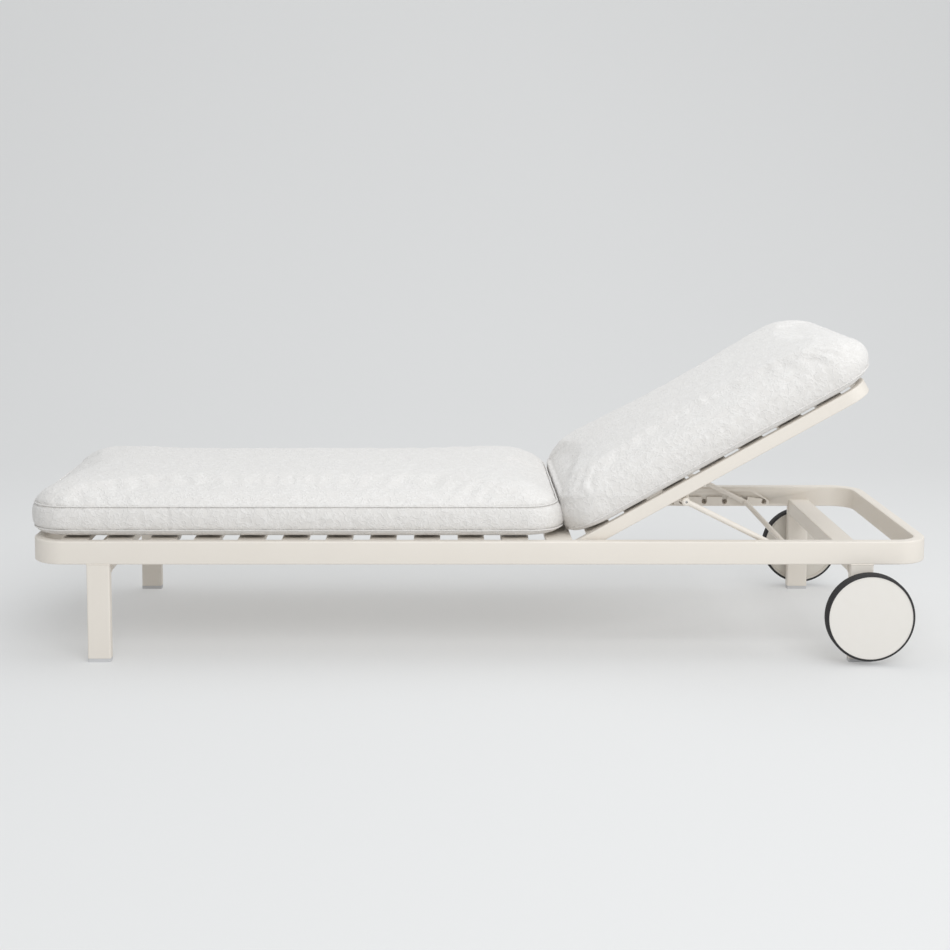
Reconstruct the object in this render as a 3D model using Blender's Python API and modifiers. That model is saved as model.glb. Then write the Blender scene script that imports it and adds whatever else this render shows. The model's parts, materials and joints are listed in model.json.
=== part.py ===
"""Reclining sun lounger: a ring frame on four legs, a slatted seat, a slatted backrest held up by a bail in a
ratchet, two wheels at the head end, and two loose cushions.

Metres, +Z up. X runs along the lounger, from the foot end (-X) to the head end (+X). The left side is -Y.
The origin is on the floor under the middle of the frame.
"""

import math

import bmesh
import bpy
from mathutils import Matrix, Vector

# --- driving dimensions -------------------------------------------------------------------------------------
CLEAR = 0.0003                      # gap between pieces that touch

FRAME_LENGTH = 2.040
FRAME_WIDTH = 0.700
RAIL_TOP = 0.2769
RAIL_HEIGHT = 0.0525
RAIL_THICKNESS = 0.025
RAIL_WALL = 0.002
RAIL_EDGE = 0.003                   # rounding of the tube's long edges
FRAME_CORNER = 0.079                # outer plan radius of the ring's corners
BEND_STUB = 0.006                   # straight run at each end of a bent tube

LEG_X = 0.862
LEG_WIDTH = 0.052
FOOT_CAP = 0.008
BEAM_WIDTH = 0.052
BEAM_TOP = 0.242
BEAM_HEIGHT = 0.040

SLAT_WIDTH = 0.060
SLAT_THICKNESS = 0.012
SLAT_WALL = 0.0015
SLAT_EDGE = 0.002
SLAT_PITCH = 0.100
SEAT_SLATS = 12
FIRST_SEAT_SLAT = -0.920
SEAT_SLAT_TOP = 0.2765
SEAT_SLAT_END_GAP = 0.0012          # lets the first slat sit between the ends of the foot corners

HINGE_X = 0.230
HINGE_Z = 0.261
BACK_ANGLE = math.radians(29.15)    # backrest's slope at rest
BACK_WIDTH = 0.640
BACK_LENGTH = 0.747                 # from the hinge axis to the head end
BACK_RAIL_HEIGHT = 0.030
BACK_RAIL_THICKNESS = 0.020
BACK_CORNER = 0.060
BACK_HEEL = 0.010                   # rail past the hinge axis
BACK_SLATS = 7
FIRST_BACK_SLAT = 0.052

HINGE_PIN_RADIUS = 0.0045
HINGE_PIN_HEAD = 0.008

BAIL_ALONG = 0.2566                 # bail's pivot, along the backrest and below its rails' centre line
BAIL_BELOW = 0.0277
BAIL_ARM = 0.2803
BAIL_ARM_ANGLE = math.radians(26.44)   # slope of the arms at rest, head end down
BAIL_ROD = 0.0065
BAIL_ARM_Y = 0.3135
BAIL_EYE = 0.009
BAIL_EYE_THICKNESS = 0.0135
BAIL_BOLT_RADIUS = 0.004
LUG_THICKNESS = 0.004
LUG_INSET = 0.0022                  # from the backrest rail's inner face to the lug

RATCHET_Z = 0.237                   # height of the notches' centres
RATCHET_NOTCHES = (0.551, 0.611, 0.665, 0.7186)
RATCHET_END = 0.7695                # last notch, where the backrest lies flat
RATCHET_THICKNESS = 0.0037

AXLE_X = 0.876
AXLE_Z = 0.110
AXLE_RADIUS = 0.005
WHEEL_RADIUS = 0.100
WHEEL_INNER = 0.356                 # distance of the wheel's faces from the lounger's middle plane
WHEEL_OUTER = 0.384
DISC_RADIUS = 0.0945

CUSHION_LIFT = 0.0022               # room for the straps between slats and cushion
CUSHION_THICKNESS = 0.1213
CUSHION_HALF_WIDTH = 0.335
SEAT_CUSHION_FOOT = -1.020
SEAT_CUSHION_HEAD = (0.190, 0.150)  # head end's X at the bottom and at the top
BACK_CUSHION_HEEL = (0.002, 0.082)  # lower end's distance from the hinge at the bottom and at the top
BACK_CUSHION_HEAD = 0.793


# --- values that follow from them -----------------------------------------------------------------------------
RAIL_BOTTOM = RAIL_TOP - RAIL_HEIGHT
RAIL_MIDDLE_Z = RAIL_TOP - RAIL_HEIGHT / 2
RAIL_Y = (FRAME_WIDTH - RAIL_THICKNESS) / 2
RAIL_INNER_Y = FRAME_WIDTH / 2 - RAIL_THICKNESS
RAIL_STRAIGHT = FRAME_LENGTH / 2 - FRAME_CORNER
BACK_RAIL_Y = (BACK_WIDTH - BACK_RAIL_THICKNESS) / 2
BACK_RAIL_INNER_Y = BACK_WIDTH / 2 - BACK_RAIL_THICKNESS
BACK_STRAIGHT = BACK_LENGTH - BACK_CORNER
SIDES = (("left", -1), ("right", 1))

ALONG_X = (math.pi / 2, 0, math.pi / 2)     # turns a profile's extrusion to run along X, its height up
ALONG_Y = (math.pi / 2, 0, 0)               # the same along Y
TO_THE_LEFT = (math.pi / 2, 0, 0)           # turned pieces: their +Z points to -Y
TO_THE_RIGHT = (-math.pi / 2, 0, 0)         # and to +Y


# --- scene ----------------------------------------------------------------------------------------------------
for old in list(bpy.data.objects):
    bpy.data.objects.remove(old, do_unlink=True)

lounger = bpy.data.collections.new("reclining_sun_lounger")
cutters = bpy.data.collections.new("cutters")
bpy.context.scene.collection.children.link(lounger)
bpy.context.scene.collection.children.link(cutters)


def material(name, colour, roughness, metallic=0.0):
    made = bpy.data.materials.new(name)
    made.use_nodes = True
    shader = made.node_tree.nodes["Principled BSDF"]
    shader.inputs["Base Color"].default_value = (*colour, 1)
    shader.inputs["Roughness"].default_value = roughness
    shader.inputs["Metallic"].default_value = metallic
    made.diffuse_color = (*colour, 1)
    return made


CREAM_PAINT = material("cream_powder_coat", (0.80, 0.77, 0.70), 0.45)
GREY_PLASTIC = material("grey_plastic", (0.55, 0.55, 0.56), 0.55)
BLACK_TYRE = material("black_tyre", (0.03, 0.03, 0.03), 0.85)
CREAM_PLASTIC = material("cream_plastic", (0.78, 0.75, 0.69), 0.5)
WHITE_FABRIC = material("white_fabric", (0.82, 0.81, 0.79), 0.95)
STEEL = material("steel", (0.60, 0.60, 0.60), 0.35, 1.0)


# --- helpers ----------------------------------------------------------------------------------------------------
def finish(piece, paint, parent=None):
    """Gives a piece its material and its parent."""
    piece.data.materials.clear()
    piece.data.materials.append(paint)
    if parent is not None:
        piece.parent = parent
    return piece


def place(piece, location, rotation=(0, 0, 0)):
    piece.location = location
    piece.rotation_euler = rotation
    return piece


def pivot(name, location, rotation=(0, 0, 0), parent=None):
    """An empty on a joint's axis."""
    empty = bpy.data.objects.new(name, None)
    lounger.objects.link(empty)
    empty.parent = parent
    return place(empty, location, rotation)


def object_from_mesh(name, mesh, collection=lounger):
    piece = bpy.data.objects.new(name, mesh)
    collection.objects.link(piece)
    return piece


def mesh_from_curve(name, curve_object):
    """The curve's solid as a mesh with its caps welded on. The curve is removed."""
    bpy.context.view_layer.update()
    evaluated = curve_object.evaluated_get(bpy.context.evaluated_depsgraph_get())
    mesh = bpy.data.meshes.new_from_object(evaluated)
    mesh.name = name
    bm = bmesh.new()
    bm.from_mesh(mesh)
    bmesh.ops.remove_doubles(bm, verts=bm.verts, dist=0.00001)
    bm.to_mesh(mesh)
    bm.free()
    bpy.data.objects.remove(curve_object, do_unlink=True)
    return mesh


def arc(centre, radius, start, end, steps):
    """Points on an arc in a plane, from one angle to another in degrees."""
    points = []
    for i in range(steps + 1):
        angle = math.radians(start + (end - start) * i / steps)
        points.append((centre[0] + radius * math.cos(angle), centre[1] + radius * math.sin(angle)))
    return points


def rounded_rectangle(width, height, radius, steps=2):
    x = width / 2 - radius
    y = height / 2 - radius
    corners = (((x, y), 0), ((-x, y), 90), ((-x, -y), 180), ((x, -y), 270))
    return [p for centre, start in corners for p in arc(centre, radius, start, start + 90, steps)]


def flat_solid(name, outlines, thickness):
    """A flat solid of the given outlines (the second and later ones are holes), centred on its thickness in Z."""
    curve = bpy.data.curves.new(name, "CURVE")
    curve.dimensions = "2D"
    curve.fill_mode = "BOTH"
    curve.extrude = thickness / 2
    for outline in outlines:
        spline = curve.splines.new("POLY")
        spline.points.add(len(outline) - 1)
        for point, (x, y) in zip(spline.points, outline):
            point.co = (x, y, 0, 1)
        spline.use_cyclic_u = True
    curve_object = bpy.data.objects.new(name, curve)
    lounger.objects.link(curve_object)
    return mesh_from_curve(name, curve_object)


def tube_mesh(name, width, height, wall, edge, length):
    """A straight hollow tube with rounded edges, open at both ends, along Z."""
    outer = rounded_rectangle(width, height, edge)
    inner = rounded_rectangle(width - 2 * wall, height - 2 * wall, max(edge - wall, 0.0005))
    return flat_solid(name, (outer, inner), length)


def swept_mesh(name, path, width, height, edge):
    """A rounded bar swept along a flat path of (x, y) points, width across the path and height in Z."""
    profile = bpy.data.curves.new(name + "_profile", "CURVE")
    profile.dimensions = "2D"
    spline = profile.splines.new("POLY")
    outline = rounded_rectangle(width, height, edge)
    spline.points.add(len(outline) - 1)
    for point, (x, y) in zip(spline.points, outline):
        point.co = (x, y, 0, 1)
    spline.use_cyclic_u = True
    profile_object = bpy.data.objects.new(name + "_profile", profile)
    cutters.objects.link(profile_object)
    curve = bpy.data.curves.new(name, "CURVE")
    curve.dimensions = "3D"
    curve.twist_mode = "Z_UP"
    curve.bevel_mode = "OBJECT"
    curve.bevel_object = profile_object
    curve.use_fill_caps = True
    spline = curve.splines.new("POLY")
    spline.points.add(len(path) - 1)
    for point, (x, y) in zip(spline.points, path):
        point.co = (x, y, 0, 1)
    curve_object = bpy.data.objects.new(name, curve)
    lounger.objects.link(curve_object)
    mesh = mesh_from_curve(name, curve_object)
    bpy.data.objects.remove(profile_object, do_unlink=True)
    return mesh


def outward(mesh):
    """Turns a closed mesh's faces outward."""
    bm = bmesh.new()
    bm.from_mesh(mesh)
    bmesh.ops.recalc_face_normals(bm, faces=bm.faces)
    bm.to_mesh(mesh)
    bm.free()
    return mesh


def cylinder(name, radius, depth, segments=24, collection=lounger):
    """A solid cylinder along Z, centred."""
    mesh = bpy.data.meshes.new(name)
    bm = bmesh.new()
    bmesh.ops.create_cone(
        bm, cap_ends=True, segments=segments, radius1=radius, radius2=radius, depth=depth
    )
    bm.to_mesh(mesh)
    bm.free()
    mesh.shade_smooth()
    mesh.set_sharp_from_angle(angle=math.radians(40))
    return object_from_mesh(name, mesh, collection)


def cutter(name, radius, depth, location, rotation=ALONG_Y, parent=None, segments=24):
    """A hidden cylinder that drills a hole."""
    drill = cylinder(name, radius, depth, segments, cutters)
    drill.parent = parent
    drill.hide_render = True
    drill.display_type = "WIRE"
    return place(drill, location, rotation)


def cut(piece, tool, operation="DIFFERENCE"):
    boolean = piece.modifiers.new(tool.name, "BOOLEAN")
    boolean.operation = operation
    boolean.object = tool
    return piece


def turned(name, profile, closed=False, steps=24):
    """A turned piece about Z. The profile's (radius, height) points run down the outer side."""
    mesh = bpy.data.meshes.new(name)
    points = [(r, 0, z) for r, z in profile]
    edges = [(i, i + 1) for i in range(len(points) - 1)]
    if closed:
        edges.append((len(points) - 1, 0))
    mesh.from_pydata(points, edges, [])
    piece = object_from_mesh(name, mesh)
    screw = piece.modifiers.new("turn", "SCREW")
    screw.steps = steps
    screw.render_steps = steps
    screw.use_merge_vertices = True
    screw.merge_threshold = 0.00002
    screw.use_smooth_shade = True
    return piece


def union(piece, extra):
    """Joins a second closed solid to a piece for good."""
    cut(piece, extra, "UNION")
    bpy.context.view_layer.update()
    evaluated = piece.evaluated_get(bpy.context.evaluated_depsgraph_get())
    mesh = bpy.data.meshes.new_from_object(evaluated)
    piece.modifiers.clear()
    piece.data = mesh
    bpy.data.objects.remove(extra, do_unlink=True)
    return piece


# --- ring frame ---------------------------------------------------------------------------------------------------
def end_bend(name, straight, half_width, corner, thickness, height, wall, edge):
    """A hollow U of bent tube in plan: two corners and the stretch between them, from X=straight on."""
    radius = corner - thickness / 2
    y = half_width - corner
    inner = straight - BEND_STUB + CLEAR / 2
    path = [(inner, -half_width + thickness / 2)]
    path += arc((straight, -y), radius, -90, 0, 6)
    path += arc((straight, y), radius, 0, 90, 6)
    path.append((inner, half_width - thickness / 2))
    bend = object_from_mesh(name, outward(swept_mesh(name, path, thickness, height, edge)))
    bore_path = [(inner - 0.002, path[0][1])] + path[1:-1] + [(inner - 0.002, path[-1][1])]
    bore = object_from_mesh(
        name + "_bore",
        outward(swept_mesh(name + "_bore", bore_path, thickness - 2 * wall, height - 2 * wall, edge - wall)),
        cutters,
    )
    bore.hide_render = True
    bore.display_type = "WIRE"
    bore.parent = bend
    return cut(bend, bore)


def side_rails():
    length = 2 * (RAIL_STRAIGHT - BEND_STUB) - CLEAR
    mesh = tube_mesh("side_rail", RAIL_THICKNESS, RAIL_HEIGHT, RAIL_WALL, RAIL_EDGE, length)
    for side, sign in SIDES:
        rail = object_from_mesh(f"side_rail_{side}", mesh.copy())
        place(rail, (0, sign * RAIL_Y, RAIL_MIDDLE_Z), ALONG_X)
        finish(rail, CREAM_PAINT)
        hole = cutter(
            f"hinge_hole_{side}", HINGE_PIN_RADIUS + CLEAR, 0.010, (HINGE_X, sign * RAIL_INNER_Y, HINGE_Z)
        )
        cut(rail, hole)


def frame_ends():
    for name, turn in (("head_end_bend", 0), ("foot_end_bend", math.pi)):
        bend = end_bend(
            name, RAIL_STRAIGHT, FRAME_WIDTH / 2, FRAME_CORNER,
            RAIL_THICKNESS, RAIL_HEIGHT, RAIL_WALL, RAIL_EDGE,
        )
        place(bend, (0, 0, RAIL_MIDDLE_Z), (0, 0, turn))
        finish(bend, CREAM_PAINT)


def legs():
    top = RAIL_BOTTOM - CLEAR
    bottom = FOOT_CAP + CLEAR
    mesh = tube_mesh("leg", LEG_WIDTH, RAIL_THICKNESS, RAIL_WALL, RAIL_EDGE, top - bottom)
    cap_mesh = flat_solid("cap", (rounded_rectangle(LEG_WIDTH, RAIL_THICKNESS, RAIL_EDGE),), FOOT_CAP)
    for end, x in (("foot", -LEG_X), ("head", LEG_X)):
        for side, sign in SIDES:
            leg = object_from_mesh(f"leg_{end}_{side}", mesh.copy())
            place(leg, (x, sign * RAIL_Y, (top + bottom) / 2))
            finish(leg, CREAM_PAINT)
            cap = object_from_mesh(f"foot_cap_{end}_{side}", cap_mesh.copy())
            place(cap, (x, sign * RAIL_Y, FOOT_CAP / 2))
            finish(cap, GREY_PLASTIC)
            if end == "head":
                cut(leg, cutter(f"axle_hole_{side}", AXLE_RADIUS + CLEAR, 0.040, (AXLE_X, sign * RAIL_Y, AXLE_Z)))


def cross_beams():
    length = 2 * (RAIL_INNER_Y - CLEAR)
    mesh = tube_mesh("beam", BEAM_WIDTH, BEAM_HEIGHT, RAIL_WALL, RAIL_EDGE, length)
    for end, x in (("foot", -LEG_X), ("head", LEG_X)):
        beam = object_from_mesh(f"cross_beam_{end}", mesh.copy())
        place(beam, (x, 0, BEAM_TOP - BEAM_HEIGHT / 2), ALONG_Y)
        finish(beam, CREAM_PAINT)


def seat_slats():
    length = 2 * (RAIL_INNER_Y - SEAT_SLAT_END_GAP)
    mesh = tube_mesh("seat_slat", SLAT_WIDTH, SLAT_THICKNESS, SLAT_WALL, SLAT_EDGE, length)
    for i in range(SEAT_SLATS):
        slat = object_from_mesh(f"seat_slat_{i + 1:02d}", mesh.copy())
        x = FIRST_SEAT_SLAT + i * SLAT_PITCH
        place(slat, (x, 0, SEAT_SLAT_TOP - SLAT_THICKNESS / 2), ALONG_Y)
        finish(slat, CREAM_PAINT)


# --- ratchet plates -------------------------------------------------------------------------------------------------
def ratchet_slot(clearance=0.0005):
    """The slot's outline in X and Z: a channel along the top, notches under it and a last notch at its end."""
    r = BAIL_ROD + clearance
    low = 0.2500
    high = 0.2645
    outline = [(RATCHET_NOTCHES[0] - r, high)]
    for x in RATCHET_NOTCHES:
        if x != RATCHET_NOTCHES[0]:
            outline.append((x - r, low))
        outline += arc((x, RATCHET_Z), r, 180, 360, 8)
        outline.append((x + r, low))
    lean = math.radians(-30)        # the channel's last stretch leans down to the end notch
    outline.append((RATCHET_END + r * math.sin(lean), RATCHET_Z - r * math.cos(lean) + 0.0135))
    outline += arc((RATCHET_END, RATCHET_Z), r, 195, 420, 10)
    outline.append((RATCHET_NOTCHES[-1] + r + 0.008, high))
    return outline


def ratchet_plate_outline():
    left = RATCHET_NOTCHES[0] - 0.021
    right = RATCHET_END + 0.014
    bottom = RAIL_BOTTOM + 0.0011
    top = 0.2715
    corner = 0.006
    outline = arc((left + corner, bottom + corner), corner, 180, 270, 4)
    outline += arc((right - 0.010, bottom + 0.010), 0.010, 270, 390, 6)
    outline += arc((RATCHET_NOTCHES[-1] + 0.016, top - 0.012), 0.012, 50, 90, 3)
    outline += arc((left + corner, top - corner), corner, 90, 180, 4)
    return outline


def ratchet_plates():
    mesh = flat_solid("ratchet", (ratchet_plate_outline(), ratchet_slot()), RATCHET_THICKNESS)
    for side, sign in SIDES:
        plate = object_from_mesh(f"ratchet_plate_{side}", mesh.copy())
        y = RAIL_INNER_Y - CLEAR - RATCHET_THICKNESS / 2
        place(plate, (0, sign * y, 0), ALONG_Y)
        finish(plate, CREAM_PAINT)


# --- backrest -----------------------------------------------------------------------------------------------------------
backrest = pivot("backrest_pivot", (HINGE_X, 0, HINGE_Z), (0, -BACK_ANGLE, 0))


def back_frame():
    length = BACK_STRAIGHT - BEND_STUB + BACK_HEEL - CLEAR / 2
    mesh = tube_mesh("back_rail", BACK_RAIL_THICKNESS, BACK_RAIL_HEIGHT, RAIL_WALL, RAIL_EDGE, length)
    for side, sign in SIDES:
        rail = object_from_mesh(f"back_rail_{side}", mesh.copy())
        finish(rail, CREAM_PAINT, backrest)
        place(rail, (length / 2 - BACK_HEEL, sign * BACK_RAIL_Y, 0), ALONG_X)
        hole = cutter(
            f"back_hinge_hole_{side}", HINGE_PIN_RADIUS + CLEAR, 0.040, (0, sign * BACK_RAIL_Y, 0), parent=backrest
        )
        cut(rail, hole)
    bend = end_bend(
        "back_head_bend", BACK_STRAIGHT, BACK_WIDTH / 2, BACK_CORNER,
        BACK_RAIL_THICKNESS, BACK_RAIL_HEIGHT, RAIL_WALL, RAIL_EDGE,
    )
    finish(bend, CREAM_PAINT, backrest)


def back_slats():
    length = 2 * (BACK_RAIL_INNER_Y - CLEAR)
    mesh = tube_mesh("back_slat", SLAT_WIDTH, SLAT_THICKNESS, SLAT_WALL, SLAT_EDGE, length)
    for i in range(BACK_SLATS):
        slat = object_from_mesh(f"back_slat_{i + 1}", mesh.copy())
        finish(slat, CREAM_PAINT, backrest)
        place(slat, (FIRST_BACK_SLAT + i * SLAT_PITCH, 0, (BACK_RAIL_HEIGHT - SLAT_THICKNESS) / 2), ALONG_Y)


def hinge_pins():
    """A shoulder pin and a spacer each side, between the backrest rail and the side rail."""
    head = HINGE_PIN_HEAD
    shank = HINGE_PIN_RADIUS
    inside = BACK_RAIL_INNER_Y - CLEAR
    nut = RAIL_INNER_Y + RAIL_WALL + CLEAR
    profile = (
        (0, nut + 0.0035), (head, nut + 0.0035), (head, nut), (shank, nut),
        (shank, inside), (head, inside), (head, inside - 0.004), (0, inside - 0.004),
    )
    ring_low = BACK_WIDTH / 2 + CLEAR
    ring_high = RAIL_INNER_Y - CLEAR
    ring = ((0.010, ring_high), (0.010, ring_low), (shank + CLEAR, ring_low), (shank + CLEAR, ring_high))
    for side, rotation in (("left", TO_THE_LEFT), ("right", TO_THE_RIGHT)):
        pin = turned(f"hinge_pin_{side}", profile, steps=20)
        finish(place(pin, (HINGE_X, 0, HINGE_Z), rotation), STEEL)
        spacer = turned(f"hinge_spacer_{side}", ring, closed=True, steps=20)
        finish(place(spacer, (HINGE_X, 0, HINGE_Z), rotation), GREY_PLASTIC)


# --- bail ---------------------------------------------------------------------------------------------------------------
bail = pivot(
    "bail_pivot", (BAIL_ALONG, 0, -BAIL_BELOW), (0, BACK_ANGLE + BAIL_ARM_ANGLE, 0), parent=backrest
)


def bail_lugs():
    """Rounded tabs under the backrest rails that carry the bail's bolts."""
    half = BAIL_EYE
    top = BAIL_BELOW - BACK_RAIL_HEIGHT / 2 - CLEAR
    outline = [(half + 0.006, top), (-half - 0.006, top)]
    outline += arc((0, 0), half, 180, 360, 8)
    hole = arc((0, 0), BAIL_BOLT_RADIUS + CLEAR, 0, 345, 23)
    mesh = flat_solid("lug", (outline, hole), LUG_THICKNESS)
    for side, sign in SIDES:
        lug = object_from_mesh(f"bail_lug_{side}", mesh.copy())
        y = BACK_RAIL_INNER_Y + LUG_INSET + LUG_THICKNESS / 2
        finish(lug, CREAM_PAINT, backrest)
        place(lug, (BAIL_ALONG, sign * y, -BAIL_BELOW), ALONG_Y)


def bail_bolts():
    """Shoulder bolts with a socket in the head, through arm and lug."""
    shank = BAIL_BOLT_RADIUS
    face = BAIL_ARM_Y + BAIL_EYE_THICKNESS / 2 + CLEAR
    lug_face = BACK_RAIL_INNER_Y + LUG_INSET - CLEAR
    head = 0.006
    profile = (
        (0, face + 0.0006), (0.0030, face + 0.0006), (0.0030, face + 0.0018), (head, face + 0.0018),
        (head, face), (shank, face), (shank, lug_face), (head + 0.001, lug_face),
        (head + 0.001, lug_face - 0.0045), (0, lug_face - 0.0045),
    )
    for side, rotation in (("left", TO_THE_LEFT), ("right", TO_THE_RIGHT)):
        bolt = finish(turned(f"bail_bolt_{side}", profile, steps=20), STEEL, backrest)
        place(bolt, (BAIL_ALONG, 0, -BAIL_BELOW), rotation)


def bail_arms():
    """Two rods with an eye at the top, coped at the bottom to sit against the cross bar."""
    for side, sign in SIDES:
        start = BAIL_EYE - 0.0015
        length = BAIL_ARM - BAIL_ROD / 2 - start
        rod = cylinder(f"bail_arm_{side}", BAIL_ROD, length, 16)
        rod.data.transform(Matrix.Rotation(math.pi / 2, 4, "Y"))
        rod.data.transform(Matrix.Translation((start + length / 2, 0, 0)))
        eye = cylinder(f"eye_{side}", BAIL_EYE, BAIL_EYE_THICKNESS, 24)
        eye.rotation_euler = ALONG_Y
        union(rod, eye)
        finish(rod, CREAM_PAINT, bail)
        place(rod, (0, sign * BAIL_ARM_Y, 0))
        bolt_hole = cutter(
            f"eye_hole_{side}", BAIL_BOLT_RADIUS + CLEAR, 0.030, (0, sign * BAIL_ARM_Y, 0), parent=bail
        )
        cope = cutter(f"cope_{side}", BAIL_ROD + CLEAR, 0.030, (BAIL_ARM, sign * BAIL_ARM_Y, 0), parent=bail)
        cut(rod, bolt_hole)
        cut(rod, cope)
    bar = cylinder("bail_crossbar", BAIL_ROD, 2 * (RAIL_INNER_Y - RATCHET_THICKNESS - CLEAR - 0.001), 24)
    finish(bar, CREAM_PAINT, bail)
    place(bar, (BAIL_ARM, 0, 0), ALONG_Y)


# --- wheels ---------------------------------------------------------------------------------------------------------------
def wheels():
    inner = WHEEL_INNER
    outer = WHEEL_OUTER
    core = DISC_RADIUS - 0.0065
    bore = AXLE_RADIUS + 0.00008
    boss = 0.011                    # hub boss that keeps the wheel off the leg
    cover_thickness = 0.0032
    rim_top = outer - cover_thickness - CLEAR
    flange = inner + 0.003
    rim = (
        (core, rim_top), (core, flange), (DISC_RADIUS, flange), (DISC_RADIUS, inner),
        (boss, inner), (boss, FRAME_WIDTH / 2 + 0.001), (bore, FRAME_WIDTH / 2 + 0.001), (bore, 0.374), (0.018, 0.374), (0.018, flange + 0.002),
        (core - 0.005, flange + 0.002), (core - 0.005, rim_top),
    )
    cover = (
        (0, outer), (DISC_RADIUS - 0.0012, outer), (DISC_RADIUS, outer - 0.0012),
        (DISC_RADIUS, outer - cover_thickness), (0, outer - cover_thickness),
    )
    seat_radius = core + CLEAR
    shoulder = DISC_RADIUS + CLEAR
    tread = 0.004
    tyre = [(shoulder, outer - 0.0008)]
    tyre += [(p[0], p[1]) for p in arc((WHEEL_RADIUS - tread, outer - tread), tread, 90, 0, 2)]
    tyre += [(p[0], p[1]) for p in arc((WHEEL_RADIUS - tread, inner + tread), tread, 0, -90, 2)]
    tyre += [
        (shoulder, inner + 0.0008), (shoulder, flange + CLEAR), (seat_radius, flange + CLEAR),
        (seat_radius, rim_top), (shoulder, rim_top),
    ]
    head = 0.009
    leg_inside = RAIL_INNER_Y - CLEAR
    axle = (
        (0, 0.379), (0.008, 0.379), (0.008, 0.3743), (AXLE_RADIUS, 0.3743),
        (AXLE_RADIUS, leg_inside), (head, leg_inside), (head, leg_inside - 0.005), (0, leg_inside - 0.005),
    )
    for side, rotation in (("left", TO_THE_LEFT), ("right", TO_THE_RIGHT)):
        centre = (AXLE_X, 0, AXLE_Z)
        pieces = (
            (f"tyre_{side}", tyre, True, 40, BLACK_TYRE),
            (f"wheel_rim_{side}", rim, True, 32, CREAM_PLASTIC),
            (f"wheel_cover_{side}", cover, False, 40, CREAM_PLASTIC),
            (f"wheel_axle_{side}", axle, False, 20, STEEL),
        )
        for name, profile, closed, steps, paint in pieces:
            finish(place(turned(name, profile, closed, steps), centre, rotation), paint)


# --- cushions and straps ------------------------------------------------------------------------------------------------
def cushion(name, bottom, thickness, low_end, high_end, parent=None):
    """A plain soft block. Each end's X is given at the bottom and at the top."""
    mesh = bpy.data.meshes.new(name)
    bm = bmesh.new()
    bmesh.ops.create_cube(bm, size=1)
    for vert in bm.verts:
        upper = vert.co.z > 0
        ends = high_end if vert.co.x > 0 else low_end
        vert.co = Vector((
            ends[1] if upper else ends[0],
            math.copysign(CUSHION_HALF_WIDTH, vert.co.y),
            bottom + (thickness if upper else 0),
        ))
    upright = [e for e in bm.edges if abs(e.verts[0].co.z - e.verts[1].co.z) > thickness / 2]
    bmesh.ops.bevel(bm, geom=upright, offset=0.060, segments=4, profile=0.5, affect="EDGES")
    rims = [e for e in bm.edges if abs(e.verts[0].co.z - e.verts[1].co.z) < 0.0001]
    bmesh.ops.bevel(bm, geom=rims, offset=0.025, segments=3, profile=0.5, affect="EDGES")
    bm.to_mesh(mesh)
    bm.free()
    return finish(object_from_mesh(name, mesh), WHITE_FABRIC, parent)


side_rails()
frame_ends()
legs()
cross_beams()
seat_slats()
ratchet_plates()
back_frame()
back_slats()
hinge_pins()
bail_lugs()
bail_bolts()
bail_arms()
wheels()
cushion(
    "seat_cushion", SEAT_SLAT_TOP + CUSHION_LIFT, CUSHION_THICKNESS,
    (SEAT_CUSHION_FOOT, SEAT_CUSHION_FOOT), SEAT_CUSHION_HEAD,
)
cushion(
    "back_cushion", BACK_RAIL_HEIGHT / 2 + CUSHION_LIFT, CUSHION_THICKNESS,
    BACK_CUSHION_HEEL, (BACK_CUSHION_HEAD, BACK_CUSHION_HEAD), backrest,
)
bpy.context.view_layer.update()
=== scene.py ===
"""A reclining sun lounger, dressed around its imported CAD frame: cream powder-coated aluminium, white crinkled
cushions on slats, a bail in a ratchet behind the backrest, and two wheels at the head end.

Metres, +Z up, X from the foot end to the head end. The left side, nearest the camera, is -Y.
"""

import json
import math

import bmesh
import bpy
from mathutils import Matrix, Vector, noise
from mathutils.bvhtree import BVHTree

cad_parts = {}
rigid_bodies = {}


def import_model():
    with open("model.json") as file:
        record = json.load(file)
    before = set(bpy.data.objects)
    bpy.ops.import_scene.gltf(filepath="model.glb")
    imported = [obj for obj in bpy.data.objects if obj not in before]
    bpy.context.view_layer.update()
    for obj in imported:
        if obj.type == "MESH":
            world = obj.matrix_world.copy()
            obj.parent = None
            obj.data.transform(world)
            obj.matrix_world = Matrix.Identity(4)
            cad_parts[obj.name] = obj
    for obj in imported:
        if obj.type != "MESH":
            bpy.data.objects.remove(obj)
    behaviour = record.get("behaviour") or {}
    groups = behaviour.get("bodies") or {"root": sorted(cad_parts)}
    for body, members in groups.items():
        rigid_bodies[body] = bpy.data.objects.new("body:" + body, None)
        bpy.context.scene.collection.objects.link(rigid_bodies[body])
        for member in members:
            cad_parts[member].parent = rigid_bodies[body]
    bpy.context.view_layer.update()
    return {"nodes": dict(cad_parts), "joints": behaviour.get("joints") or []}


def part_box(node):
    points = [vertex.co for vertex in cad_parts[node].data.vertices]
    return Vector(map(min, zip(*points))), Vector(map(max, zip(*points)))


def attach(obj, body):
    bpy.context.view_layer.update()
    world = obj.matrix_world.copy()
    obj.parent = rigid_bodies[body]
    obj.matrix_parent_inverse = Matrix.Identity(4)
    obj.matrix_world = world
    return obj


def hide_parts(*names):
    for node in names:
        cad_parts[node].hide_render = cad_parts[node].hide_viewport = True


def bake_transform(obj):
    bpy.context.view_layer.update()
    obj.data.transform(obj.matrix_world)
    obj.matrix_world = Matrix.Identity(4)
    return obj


for old in list(bpy.data.objects):
    bpy.data.objects.remove(old, do_unlink=True)

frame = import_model()


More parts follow.
